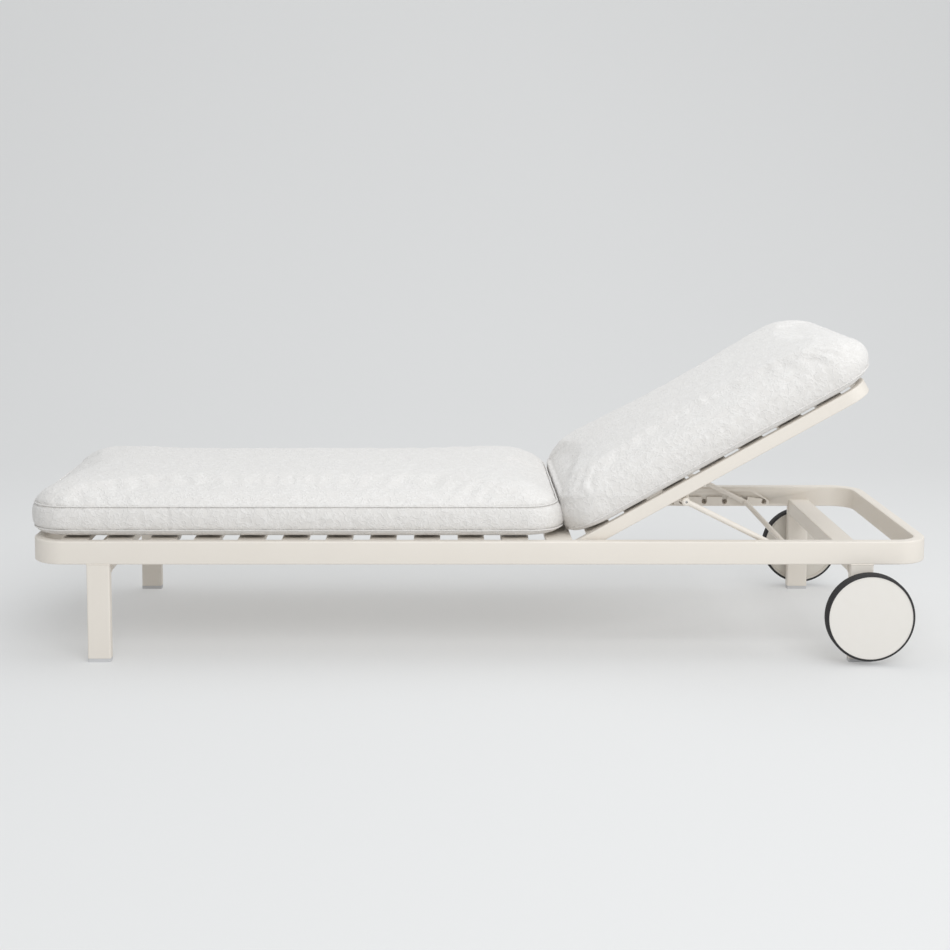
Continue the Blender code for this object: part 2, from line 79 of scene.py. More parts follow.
# --- camera -----------------------------------------------------------------------------------------------
# A long lens at chest height, square to the lounger's left side and looking a little down. The rest of the
# framing is lens shift rather than tilt, so that the legs stay upright.
camera = bpy.data.objects.new("camera", bpy.data.cameras.new("camera"))
bpy.context.scene.collection.objects.link(camera)
bpy.context.scene.camera = camera
camera.location = (-0.0816, -4.0009, 1.0846)
CAMERA_DIP = 5                     # degrees below level
camera.rotation_euler = (math.radians(90 - CAMERA_DIP), 0, 0)
camera.data.lens = 62.41
camera.data.sensor_width = 36
camera.data.shift_x = 0.0328
camera.data.shift_y = -0.1571
camera.data.clip_end = 60


# --- powder coat, and the way every material is written ---------------------------------------------------
# The metal is aluminium, sprayed with a fine-textured cream powder and baked, which leaves a faint orange
# peel and hides the welds' colour. It is one finish on the ring, legs, beams, slats, backrest and bail.
class Shade:
    """What comes out of one socket of a material's nodes. Values take +, - and *; the rest are nodes."""

    def __init__(self, tree, socket=None):
        self.tree = tree
        self.socket = socket

    def node(self, kind, settings=None, inputs=None, output=0):
        made = self.tree.nodes.new(kind)
        for name, value in (settings or {}).items():
            if name == "stops":
                for stop, (position, level) in zip(made.color_ramp.elements, value):
                    stop.position = position
                    stop.color = (level, level, level, 1)
            else:
                setattr(made, name, value)
        for name, value in (inputs or {}).items():
            if isinstance(value, Shade):
                self.tree.links.new(value.socket, made.inputs[name])
            else:
                made.inputs[name].default_value = value
        return Shade(self.tree, made.outputs[output])

    def maths(self, operation, first, second):
        return self.node("ShaderNodeMath", {"operation": operation}, {0: first, 1: second})

    def __add__(self, other):
        return self.maths("ADD", self, other)

    def __radd__(self, other):
        return self.maths("ADD", other, self)

    def __sub__(self, other):
        return self.maths("SUBTRACT", self, other)

    def __rsub__(self, other):
        return self.maths("SUBTRACT", other, self)

    def __mul__(self, other):
        return self.maths("MULTIPLY", self, other)

    def __rmul__(self, other):
        return self.maths("MULTIPLY", other, self)

    def __abs__(self):
        return self.maths("ABSOLUTE", self, 0)


def place_on_piece(tree):
    """Where a point is on its own piece, in metres."""
    return Shade(tree).node("ShaderNodeTexCoord", output=3)


def speckle(where, size, detail=2.0, roughness=0.5):
    """Cloudy noise from 0 to 1, with blobs about size across."""
    return where.node(
        "ShaderNodeTexNoise",
        inputs={"Vector": where, "Scale": 1 / size, "Detail": detail, "Roughness": roughness},
    )


def between(mask, low, high):
    """The colour low where the mask is 0 and high where it is 1."""
    return mask.node(
        "ShaderNodeMix",
        {"data_type": "RGBA"},
        {0: mask, 6: (*low, 1), 7: (*high, 1)},
        output=2,
    )


def relief(height, distance, strength=1.0):
    """A bump that stands up to distance metres proud."""
    return height.node(
        "ShaderNodeBump", inputs={"Strength": strength, "Distance": distance, "Height": height}
    )


def finish(name, dress, **constants):
    """A material whose shader takes constants, and what dress gives for the places on the piece."""
    made = bpy.data.materials.new(name)
    made.use_nodes = True
    tree = made.node_tree
    shader = tree.nodes["Principled BSDF"]
    for socket, value in constants.items():
        shader.inputs[socket.replace("_", " ")].default_value = value
    for socket, value in dress(place_on_piece(tree)).items():
        tree.links.new(value.socket, shader.inputs[socket])
    return made


def powder_coat(name, light, dark):
    def dress(where):
        peel = speckle(where, 0.0011, 3)
        cloud = speckle(where, 0.09, 3)
        return {
            "Base Color": between(cloud, dark, light),
            "Roughness": 0.40 + 0.16 * speckle(where, 0.006, 2),
            "Normal": relief(peel, 0.00025, 0.55),
        }
    return finish(name, dress, Specular_IOR_Level=0.42)


CREAM_PAINT = powder_coat("cream powder coat", (0.806, 0.755, 0.686), (0.782, 0.727, 0.655))


# --- stage and light --------------------------------------------------------------------------------------
# A pale seamless sweep, back-lit a little so that shadows stay light: a floor that curves up into a wall
# behind the lounger and another behind the camera. One broad soft light hangs overhead, one high in front and
# a weaker one low at the head end.
SWEEP_WIDTH = 80.0
SWEEP_MIDDLE = -6.4                # the two walls' places along Y add up to this
SWEEP_BEND_START = 2.2
SWEEP_BEND_RADIUS = 2.6
SWEEP_BEND_STEPS = 24
SWEEP_TOP = 7.0


def grid(rows, closed_across=False, closed_along=False, capped=False):
    """A skin over rows of equally many points."""
    bm = bmesh.new()
    made = [[bm.verts.new(p) for p in row] for row in rows]
    count = len(made[0])
    for i in range(len(made) if closed_along else len(made) - 1):
        here, there = made[i], made[(i + 1) % len(made)]
        for j in range(count if closed_across else count - 1):
            k = (j + 1) % count
            bm.faces.new((here[j], here[k], there[k], there[j]))
    if capped:
        bm.faces.new(made[0][::-1])
        bm.faces.new(made[-1])
    return bm


def piece_from(name, bm, paint, crease=35):
    """An object from a finished bmesh, smooth but for edges sharper than crease degrees."""
    bmesh.ops.recalc_face_normals(bm, faces=bm.faces)
    mesh = bpy.data.meshes.new(name)
    bm.to_mesh(mesh)
    bm.free()
    mesh.shade_smooth()
    mesh.set_sharp_from_angle(angle=math.radians(crease))
    mesh.materials.append(paint)
    made = bpy.data.objects.new(name, mesh)
    bpy.context.scene.collection.objects.link(made)
    return made


def sweep_paper(where):
    return {
        "Base Color": between(speckle(where, 1.4, 1), (0.465, 0.463, 0.458), (0.475, 0.473, 0.468)),
    }


PAPER = finish(
    "back-lit studio paper", sweep_paper, Roughness=0.9, Specular_IOR_Level=0.1,
    Emission_Color=(0.985, 0.995, 1.0, 1), Emission_Strength=0.30,
)

floor_end = [(SWEEP_BEND_START, 0.0)]
for step in range(1, SWEEP_BEND_STEPS + 1):
    turn = math.radians(90 * step / SWEEP_BEND_STEPS)
    floor_end.append((
        SWEEP_BEND_START + SWEEP_BEND_RADIUS * math.sin(turn),
        SWEEP_BEND_RADIUS * (1 - math.cos(turn)),
    ))
floor_end.append((SWEEP_BEND_START + SWEEP_BEND_RADIUS, SWEEP_TOP))
section = [(SWEEP_MIDDLE - y, z) for y, z in reversed(floor_end)] + floor_end
floor = piece_from(
    "studio_sweep",
    grid([[(x, y, z) for y, z in section] for x in (-SWEEP_WIDTH / 2, SWEEP_WIDTH / 2)]),
    PAPER,
)


def soft_light(name, place, target, size, energy, colour):
    """A rectangular area light of that size and watts, aimed at its target."""
    lamp = bpy.data.lights.new(name, "AREA")
    lamp.shape = "RECTANGLE"
    lamp.size, lamp.size_y = size
    lamp.energy = energy
    lamp.color = colour
    made = bpy.data.objects.new(name, lamp)
    bpy.context.scene.collection.objects.link(made)
    made.location = place
    made.rotation_euler = (Vector(target) - Vector(place)).to_track_quat("-Z", "Y").to_euler()


soft_light("overhead", (0.6, 0.4, 3.6), (0, 0, 0), (5.0, 3.4), 58, (0.965, 0.985, 1.0))
soft_light("front", (1.2, -4.4, 3.9), (0.1, 0, 0.2), (4.4, 2.4), 150, (0.975, 0.988, 1.0))
soft_light("head_end", (4.4, -1.4, 1.5), (0, 0, 0.1), (2.4, 1.8), 22, (0.98, 0.99, 1.0))

world = bpy.data.worlds.new("studio")
bpy.context.scene.world = world
world.use_nodes = True
world.node_tree.nodes["Background"].inputs["Color"].default_value = (0.935, 0.968, 1.0, 1)
world.node_tree.nodes["Background"].inputs["Strength"].default_value = 0.48
bpy.context.scene.view_settings.view_transform = "Standard"
bpy.context.scene.view_settings.look = "None"


# --- ring frame -------------------------------------------------------------------------------------------
# One upright aluminium tube with eased edges, bent round all four corners and welded into a ring. The joint
# is ground flush before it is coated, so it shows no seams.
rail_low, rail_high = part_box("side_rail_left")
ring_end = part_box("head_end_bend")[1].x
ring_side = -rail_low.y
RAIL_THICK = rail_high.y - rail_low.y
RAIL_TALL = rail_high.z - rail_low.z
RING_CORNER = 0.079                # outer radius of the bends
RAIL_ROUNDING = 0.0032


def arc(x, y, radius, start, end, steps):
    """Points on an arc in a plane, from one angle to another in degrees."""
    turns = [math.radians(start + (end - start) * i / steps) for i in range(steps + 1)]
    return [(x + radius * math.cos(a), y + radius * math.sin(a)) for a in turns]


def rounded_outline(half_x, half_y, radius, steps=4):
    """A rounded rectangle's points, counterclockwise from the middle of its right side."""
    x, y = half_x - radius, half_y - radius
    corners = ((x, y, 0), (-x, y, 90), (-x, -y, 180), (x, -y, 270))
    return [p for cx, cy, start in corners for p in arc(cx, cy, radius, start, start + 90, steps)]


def swept_bar(path, profile, closed=True):
    """A bar along a flat path of (x, y) points. Its profile has (across, up) points; corners are mitred."""
    rows = []
    count = len(path)
    for i, point in enumerate(path):
        here = Vector(point)
        before = Vector(path[i - 1]) if closed or i else None
        after = Vector(path[(i + 1) % count]) if closed or i < count - 1 else None
        coming = (here - before).normalized() if before else (after - here).normalized()
        going = (after - here).normalized() if after else coming
        along = (coming + going).normalized()
        side = Vector((along.y, -along.x)) / max(along.dot(coming), 0.3)
        rows.append([(here.x + side.x * a, here.y + side.y * a, up) for a, up in profile])
    return grid(rows, closed_across=True, closed_along=closed, capped=not closed)


ring = piece_from(
    "ring_frame",
    swept_bar(
        rounded_outline(
            ring_end - RAIL_THICK / 2, ring_side - RAIL_THICK / 2, RING_CORNER - RAIL_THICK / 2, 16
        ),
        rounded_outline(RAIL_THICK / 2, RAIL_TALL / 2, RAIL_ROUNDING, 5),
    ),
    CREAM_PAINT,
)
ring.data.transform(Matrix.Translation((0, 0, (rail_low.z + rail_high.z) / 2)))

# a hole in the side rail behind each notch of the ratchet plates, for the end of the bail's crossbar
NOTCHES = (0.551, 0.611, 0.665, 0.7186, 0.7695)
NOTCH_Z = 0.237
NOTCH_RADIUS = 0.0070
NOTCH_DEPTH = 0.019


def baked(piece):
    """Applies a piece's modifiers to its mesh."""
    bpy.context.view_layer.update()
    evaluated = piece.evaluated_get(bpy.context.evaluated_depsgraph_get())
    mesh = bpy.data.meshes.new_from_object(evaluated)
    piece.modifiers.clear()
    piece.vertex_groups.clear()
    piece.data = mesh


drills = bmesh.new()
for x in NOTCHES:
    for sign in (-1, 1):
        on_wall = Matrix.Translation((x, sign * (ring_side - RAIL_THICK), NOTCH_Z))
        bmesh.ops.create_cone(
            drills, cap_ends=True, segments=32, radius1=NOTCH_RADIUS, radius2=NOTCH_RADIUS,
            depth=2 * NOTCH_DEPTH, matrix=on_wall @ Matrix.Rotation(math.pi / 2, 4, "X"),
        )
drill = piece_from("notch_drills", drills, CREAM_PAINT)
cut = ring.modifiers.new("notches", "BOOLEAN")
cut.object = drill
cut.solver = "EXACT"
baked(ring)
bpy.data.objects.remove(drill, do_unlink=True)
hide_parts("side_rail_left", "side_rail_right", "foot_end_bend", "head_end_bend")
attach(ring, "base")


# --- legs, beams and slats --------------------------------------------------------------------------------
# Straight lengths of the same coated aluminium: four legs butted under the ring, two beams between the side
# rails, and the flat slats. A small bead of weld shows, under the coat, where the legs and beams meet it.
def repaint(paint, names):
    """Gives those nodes of the frame a material of this scene."""
    for name in names:
        node = frame["nodes"][name]
        for i in range(max(1, len(node.data.materials))):
            if node.data.materials:
                node.data.materials[i] = paint
            else:
                node.data.materials.append(paint)


def all_named(*starts):
    """The frame's nodes whose names start so, in order."""
    return [name for name in sorted(frame["nodes"]) if name.startswith(starts)]


def tube(path, radius, sides=10, closed=False):
    """A round rod along points in space. Its radius is a number, or a function of the point's number."""
    points = [Vector(p) for p in path]
    count = len(points)
    rows = []
    across = None
    for i, here in enumerate(points):
        if closed:
            along = (points[(i + 1) % count] - points[i - 1]).normalized()
        else:
            along = (points[min(i + 1, count - 1)] - points[max(i - 1, 0)]).normalized()
        guess = across or Vector((0.31, 0.17, 1)).normalized()
        across = (guess - along * guess.dot(along)).normalized()
        up = along.cross(across)
        r = radius(i) if callable(radius) else radius
        turns = [math.tau * k / sides for k in range(sides)]
        rows.append([here + (across * math.cos(a) + up * math.sin(a)) * r for a in turns])
    return grid(rows, closed_across=True, closed_along=closed, capped=not closed)


def weld_bead(name, outline, body, radius=0.0016):
    """A rippled bead round a joint, along a closed run of points."""
    def rippled(i):
        return radius * (1 + 0.14 * math.sin(i * 2.1))

    made = piece_from(name, tube(outline, rippled, 8, closed=True), CREAM_PAINT, 80)
    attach(made, body)


def fine(outline, step):
    """The closed run with more points, no further apart than step."""
    points = [Vector(p) for p in outline]
    run = []
    for i, here in enumerate(points):
        there = points[(i + 1) % len(points)]
        parts = max(1, math.ceil((there - here).length / step))
        run += [here.lerp(there, k / parts) for k in range(parts)]
    return run


repaint(CREAM_PAINT, all_named("leg_", "cross_beam_", "seat_slat_", "back_slat_"))

BEAD_PROUD = 0.0002                # how far a bead's middle lies off the tube that it runs round
BEAD_INSET = 0.0010                # and inside the leg's sides, which are flush with the ring's
BEAD_CORNER = 0.0030
BEAD_STEP = 0.004
for end in ("foot", "head"):
    for side in ("left", "right"):
        low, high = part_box(f"leg_{end}_{side}")
        middle = (low + high) / 2
        loop = rounded_outline(
            (high.x - low.x) / 2 + BEAD_PROUD, (high.y - low.y) / 2 - BEAD_INSET, BEAD_CORNER
        )
        weld_bead(
            f"leg_weld_{end}_{side}",
            fine([(middle.x + x, middle.y + y, high.z - BEAD_PROUD) for x, y in loop], BEAD_STEP),
            "base",
        )
    low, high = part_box(f"cross_beam_{end}")
    middle = (low + high) / 2
    loop = rounded_outline(
        (high.x - low.x) / 2 + BEAD_PROUD, (high.z - low.z) / 2 + BEAD_PROUD, BEAD_CORNER
    )
    for side, y in (("left", low.y + BEAD_PROUD), ("right", high.y - BEAD_PROUD)):
        weld_bead(
            f"beam_weld_{end}_{side}",
            fine([(middle.x + x, y, middle.z + z) for x, z in loop], BEAD_STEP),
            "base",
        )


# --- foot caps --------------------------------------------------------------------------------------------
# Grey polypropylene plugs pressed into the legs' open ends, the four feet that the lounger stands on. They
# are moulded, so they have a fine spark-eroded texture, as the wheels' plastic has.
def moulded(name, light, dark, gloss):
    def dress(where):
        spark = speckle(where, 0.0008, 2)
        return {
            "Base Color": between(speckle(where, 0.02, 3), dark, light),
            "Roughness": gloss + 0.14 * speckle(where, 0.008, 2),
            "Normal": relief(spark, 0.00012, 0.5),
        }
    return finish(name, dress)


GREY_PLASTIC = moulded("grey plastic", (0.62, 0.62, 0.625), (0.56, 0.56, 0.565), 0.45)
repaint(GREY_PLASTIC, all_named("foot_cap_"))


# --- ratchet plates, pins and bolts -----------------------------------------------------------------------
# The ratchet plates are laser-cut aluminium, coated with the side rails that they are fixed inside. The pins,
# shanks and axles are brushed stainless steel, left bare.
def brushed_steel(where):
    stretched = where.node("ShaderNodeMapping", inputs={0: where, 3: (1, 0.06, 1)})
    lines = speckle(stretched, 0.0005, 3)
    return {
        "Base Color": between(speckle(where, 0.012, 3), (0.50, 0.50, 0.50), (0.62, 0.61, 0.60)),
        "Roughness": 0.24 + 0.20 * lines,
        "Normal": relief(lines, 0.00006, 0.4),
    }


STEEL = finish("brushed stainless steel", brushed_steel, Metallic=1.0)
repaint(CREAM_PAINT, all_named("ratchet_plate_", "bail_lug_"))
repaint(STEEL, all_named("hinge_pin_", "wheel_axle_"))


# The screw's hexagon socket is painted near-black: painted shade inside the recess, added to the shade from the
# recess's own depth. The speckle only varies that darkness at random.
def painted_socket_shade(where):
    socket_shade_speckle = speckle(where, 0.002, 2)
    return {
        "Base Color": between(socket_shade_speckle, (0.020, 0.018, 0.017), (0.035, 0.032, 0.030)),
        "Roughness": 0.45 + 0.2 * socket_shade_speckle,
    }


SOCKET_SHADE = finish("screw socket painted shade", painted_socket_shade, Metallic=0.6)


# --- backrest frame ---------------------------------------------------------------------------------------
# A U of flat-sided tube, lighter than the ring's, bent round its two top corners and closed at its two lower
# ends. It hinges inside the side rails.
hinge = next(joint for joint in frame["joints"] if joint["name"] == "backrest_hinge")
HINGE = Vector(hinge["pos_m"])
BACK_SLOPE = math.radians(-hinge["range_deg"][0])     # its lower limit lays the backrest flat
BACK_UP = Matrix.Translation(HINGE) @ Matrix.Rotation(-BACK_SLOPE, 4, "Y")
BACK_LENGTH = 0.747
BACK_HEEL = 0.010                  # how far the rails run on below the hinge
BACK_RAIL_THICK = 0.020
BACK_RAIL_TALL = 0.030
BACK_CORNER = 0.060                # outer radius of the bends
back_half = -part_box("back_rail_left")[0].y


def along_back(s, y=0.0, n=0.0):
    """The place s up the backrest from its hinge, and n out of its plane."""
    return BACK_UP @ Vector((s, y, n))


half = back_half - BACK_RAIL_THICK / 2
bend = BACK_CORNER - BACK_RAIL_THICK / 2
straight = BACK_LENGTH - BACK_CORNER
u_path = [(-BACK_HEEL, -half)]
u_path += arc(straight, -half + bend, bend, -90, 0, 14)
u_path += arc(straight, half - bend, bend, 0, 90, 14)
u_path.append((-BACK_HEEL, half))
back_frame = piece_from(
    "back_frame",
    swept_bar(
        u_path, rounded_outline(BACK_RAIL_THICK / 2, BACK_RAIL_TALL / 2, 0.0026, 5), closed=False
    ),
    CREAM_PAINT,
)
back_frame.data.transform(BACK_UP)
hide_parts("back_rail_left", "back_rail_right", "back_head_bend")
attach(back_frame, "backrest")


# --- wheels -----------------------------------------------------------------------------------------------
# A solid rubber tyre on a moulded polypropylene rim, with a slightly domed cream cover clipped over the outer
# face. Each wheel turns on a steel stub axle through the leg, and the rim's boss holds it off the leg.
def rubber(where):
    dust = speckle(where, 0.012, 4, 0.6)
    return {
        "Base Color": between(dust, (0.018, 0.017, 0.018), (0.034, 0.032, 0.033)),
        "Roughness": 0.62 + 0.22 * dust,
        "Normal": relief(speckle(where, 0.0012, 2), 0.0002, 0.5),
    }


RUBBER = finish("black rubber", rubber)
COVER_PLASTIC = moulded("cream cover plastic", (0.795, 0.765, 0.720), (0.775, 0.742, 0.692), 0.36)
RIM_PLASTIC = moulded("cream rim plastic", (0.70, 0.665, 0.605), (0.66, 0.62, 0.56), 0.45)


def turned(centre, profile, steps, closed=False):
    """A piece turned about an axis along Y. Its profile has (radius, y) points, y from the centre."""
    rows = []
    for i in range(steps):
        a = math.tau * i / steps
        rows.append([centre + Vector((r * math.cos(a), y, r * math.sin(a))) for r, y in profile])
    return grid(rows, closed_across=closed, closed_along=True)


def weld_centre(bm):
    """Joins the points of a turned piece that lie on its axis."""
    bmesh.ops.remove_doubles(bm, verts=bm.verts, dist=0.00001)
    return bm


def tyre_profile(radius, seat, inner, outer):
    """From the rim's seat out over the tread and back, with round shoulders and two shallow grooves."""
    shoulder = 0.0058
    groove_depth = 0.0012
    width = abs(outer - inner)
    sign = 1 if outer > inner else -1
    points = [(seat, 0.0)]
    points += [(radius - shoulder + r, shoulder + y) for y, r in arc(0, 0, shoulder, 180, 90, 7)]
    for groove in (0.36, 0.64):
        y = groove * width
        points += [
            (radius, y - 0.0014), (radius - groove_depth, y - 0.0007),
            (radius - groove_depth, y + 0.0007), (radius, y + 0.0014),
        ]
    points += [(radius - shoulder + r, width - shoulder + y) for y, r in arc(0, 0, shoulder, 90, 0, 7)]
    points += [(seat + 0.0012, width), (seat, width - 0.0012)]
    return [(r, inner + sign * y) for r, y in points]


COVER_GAP = 0.0006                 # between the cover's edge and the tyre
COVER_THICK = 0.0030
COVER_EDGE = 0.0012
COVER_DOME = 0.0011                # how far the cover's edge lies behind its middle
DOME_RINGS = (0.985, 0.93, 0.8, 0.6, 0.4, 0.2, 0.0)
RIM_RECESS = 0.0040                # depth of the flat plate inside the rim's lip
HUB_RADIUS = 0.020
BOSS_RADIUS = 0.0125
AXLE_HOLE = 0.0056

for side, sign in (("left", -1), ("right", 1)):
    body = f"wheel_{side}"
    spin = next(joint for joint in frame["joints"] if joint["name"] == f"wheel_spin_{side}")
    centre = Vector(spin["pos_m"])
    tyre_low, tyre_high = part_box(f"tyre_{side}")
    radius = (tyre_high.x - tyre_low.x) / 2
    reach = (tyre_high.y - tyre_low.y) / 2
    cover_low, cover_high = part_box(f"wheel_cover_{side}")
    disc = (cover_high.x - cover_low.x) / 2
    face = max(abs(cover_low.y), abs(cover_high.y)) - abs(centre.y)
    rim_low, rim_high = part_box(f"wheel_rim_{side}")
    boss = abs(centre.y) - min(abs(rim_low.y), abs(rim_high.y))

    tyre = piece_from(
        f"tyre_tread_{side}",
        turned(centre, tyre_profile(radius, disc + COVER_GAP, -sign * reach, sign * reach), 128, closed=True),
        RUBBER,
        50,
    )
    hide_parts(f"tyre_{side}")
    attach(tyre, body)

    back = face - COVER_THICK
    dome = [(0.0, back), (disc - COVER_EDGE, back)]
    dome += arc(disc - COVER_EDGE, back + COVER_EDGE, COVER_EDGE, -90, 45, 3)
    dome += [(disc * t, face - COVER_DOME * t ** 2) for t in DOME_RINGS]
    cover = piece_from(
        f"wheel_disc_{side}",
        weld_centre(turned(centre, [(r, sign * y) for r, y in dome], 128)),
        COVER_PLASTIC,
        60,
    )
    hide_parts(f"wheel_cover_{side}")
    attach(cover, body)

    seat = disc - 0.0002
    rim_back = -reach + 0.0020
    web = back - 0.0006
    plate = rim_back + RIM_RECESS
    rim_profile = [
        (AXLE_HOLE, web), (seat, web), (seat, rim_back), (seat - 0.0010, rim_back - 0.0008),
        (seat - 0.0036, rim_back - 0.0008), (seat - 0.0044, rim_back), (seat - 0.0050, plate - 0.0006),
        (seat - 0.0058, plate), (HUB_RADIUS + 0.0016, plate), (HUB_RADIUS, plate - 0.0014),
        (HUB_RADIUS, rim_back), (HUB_RADIUS - 0.0012, rim_back - 0.0012),
        (BOSS_RADIUS, rim_back - 0.0012), (BOSS_RADIUS, -boss + 0.0008), (BOSS_RADIUS - 0.0008, -boss),
        (AXLE_HOLE, -boss),
    ]
    rim = piece_from(
        f"wheel_core_{side}",
        turned(centre, [(r, sign * y) for r, y in rim_profile], 96, closed=True),
        RIM_PLASTIC,
    )
    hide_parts(f"wheel_rim_{side}")
    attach(rim, body)


# --- bail -------------------------------------------------------------------------------------------------
# The prop that holds the backrest up: two round rods with a flattened eye at the upper end, welded to a
# crossbar whose ends lie in the ratchet plates' notches. A shouldered screw holds each eye to the backrest.
repaint(CREAM_PAINT, all_named("bail_arm_", "bail_crossbar"))
repaint(RIM_PLASTIC, all_named("hinge_spacer_"))

bar_low, bar_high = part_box("bail_crossbar")
bar_centre = (bar_low + bar_high) / 2
BAR_RADIUS = (bar_high.z - bar_low.z) / 2
BAR_BEAD = 0.0014
for side in ("left", "right"):
    arm_low, arm_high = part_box(f"bail_arm_{side}")
    y = (arm_low.y + arm_high.y) / 2
    inward = -1 if y > 0 else 1
    reach = BAR_RADIUS + 0.0003
    loop = []
    for a in (math.tau * k / 28 for k in range(28)):
        x, z = bar_centre.x + reach * math.cos(a), bar_centre.z + reach * math.sin(a)
        loop.append(Vector((x, y + inward * 0.0066, z)))
    weld_bead(f"bail_weld_{side}", loop, "bail", BAR_BEAD)


SCREW_HEAD = 0.0030                # height of the screw's head
SHANK_RADIUS = 0.0039


def screw_head(name, centre, outward, radius):
    """A low round cap head with a hexagon socket. It faces outward, 1 or -1 along Y."""
    socket = radius * 0.42
    edge = 0.0009
    bm = bmesh.new()
    steps = 36
    rings = []
    for r, up, hexagon in (
        (radius * 0.55, -0.006, False), (radius * 0.55, 0.0, False), (radius, 0.0, False),
        (radius, SCREW_HEAD - edge, False), (radius - edge * 0.3, SCREW_HEAD - edge * 0.3, False),
        (radius - edge, SCREW_HEAD, False), (socket * 1.22, SCREW_HEAD, False),
        (socket, SCREW_HEAD - 0.0003, True), (socket, -0.0012, True),
    ):
        ring = []
        for i in range(steps):
            a = math.tau * i / steps
            part = math.pi / 6 - (a % (math.pi / 3))
            reach = r * math.cos(math.pi / 6) / math.cos(part) if hexagon else r
            place = Vector((reach * math.cos(a), outward * up, reach * math.sin(a)))
            ring.append(bm.verts.new(centre + place))
        rings.append(ring)
    for low, high in zip(rings, rings[1:]):
        for i in range(steps):
            k = (i + 1) % steps
            bm.faces.new((low[i], low[k], high[k], high[i]))
    bm.faces.new(rings[0])
    socket_floor = bm.faces.new(rings[-1])
    # the socket's floor and walls take the near-black material, painted shade in the recess
    socket_floor.material_index = 1
    for floor_edge in socket_floor.edges:
        for wall in floor_edge.link_faces:
            wall.material_index = 1
    made = piece_from(name, bm, CREAM_PAINT, 40)
    made.data.materials.append(SOCKET_SHADE)
    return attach(made, "backrest")


for side, sign in (("left", -1), ("right", 1)):
    bolt_low, bolt_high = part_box(f"bail_bolt_{side}")
    face = bolt_low.y if sign < 0 else bolt_high.y
    middle = (bolt_low + bolt_high) / 2
    head = screw_head(
        f"bail_screw_{side}",
        Vector((middle.x, face - sign * SCREW_HEAD, middle.z)),
        sign,
        (bolt_high.x - bolt_low.x) / 2,
    )
    shank_ends = (bolt_low.y + SCREW_HEAD, bolt_high.y - SCREW_HEAD)
    shank = piece_from(
        f"bail_shank_{side}",
        tube([(middle.x, y, middle.z) for y in shank_ends], SHANK_RADIUS, 20),
        STEEL,
    )
    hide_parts(f"bail_bolt_{side}")
    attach(shank, "backrest")


# --- cushions ---------------------------------------------------------------------------------------------
# Quick-drying foam in a sewn cover of white crinkled outdoor fabric: a top and a bottom panel, with a side
# band between them. The seat cushion is piped along both seams, the back cushion only along the lower one.
def crinkled(where):
    drift = where.node("ShaderNodeTexNoise", inputs={"Vector": where, "Scale": 30.0}, output=1)
    bent = where.node(
        "ShaderNodeMix", {"data_type": "VECTOR"}, {0: 0.018, 4: where, 5: drift}, output=1
    )
    curls = 1 - 2 * abs(speckle(bent, 0.016, 2, 0.5) - 0.5)
    curl = curls.node("ShaderNodeValToRGB", {"stops": ((0.84, 0.0), (1.0, 1.0))}, {0: curls})
    loops = where.node(
        "ShaderNodeTexVoronoi",
        {"feature": "SMOOTH_F1"},
        {"Vector": bent, "Scale": 340.0, "Smoothness": 0.6},
    )
    yarn = speckle(where, 0.0016, 3, 0.6)
    height = 0.55 * curl + 0.30 * (1 - loops) + 0.15 * yarn
    # The colour follows the curls and loops: lighter on their crests and darker in the lows between them. This
    # is painted shade in the fabric's crevices.
    crest_light_crevice_shade = 0.55 * curl + 0.45 * (1 - loops)
    return {
        "Base Color": between(crest_light_crevice_shade, (0.725, 0.700, 0.672), (0.800, 0.780, 0.757)),
        "Roughness": 0.86 + 0.10 * yarn,
        "Normal": relief(height, 0.0016, 0.8),
    }


FABRIC = finish(
    "white crinkled fabric", crinkled, Sheen_Weight=0.25, Sheen_Roughness=0.6, Specular_IOR_Level=0.2
)

VOXEL = 0.0075
SWELLING_FRAMES = 20
SEAM_WIDTH = 0.0042                # on each side of a seam the cover is held
LOWER_SEAM = 0.0185                # heights above the cushion's underside
UPPER_SEAM = 0.0735
PIPING_RADIUS = 0.0017


def pillow_rows(foot, head, half_width, corner, profile, lean):
    """Outlines of a cushion, from its underside's middle round the edge to its top's middle. The profile has
    (inset, height) points, and lean gives how far the head end moves at a height."""
    rows = []
    for inset, height in profile:
        half_x = (head - foot) / 2 - inset
        half_y = half_width - inset
        radius = max(corner - inset * 0.75, 0.012)
        outline = rounded_outline(half_x, half_y, min(radius, half_y - 0.001), 10)
        row = []
        for x, y in outline:
            share = max(0.0, x / half_x) ** 6
            row.append(((head + foot) / 2 + x + share * lean(height), y, height))
        rows.append(row)
    return rows


def smooth_step(value, start, end):
    """From 0 at start to 1 at end, with an easy start and finish."""
    t = min(1.0, max(0.0, (value - start) / (end - start)))
    return t * t * (3 - 2 * t)


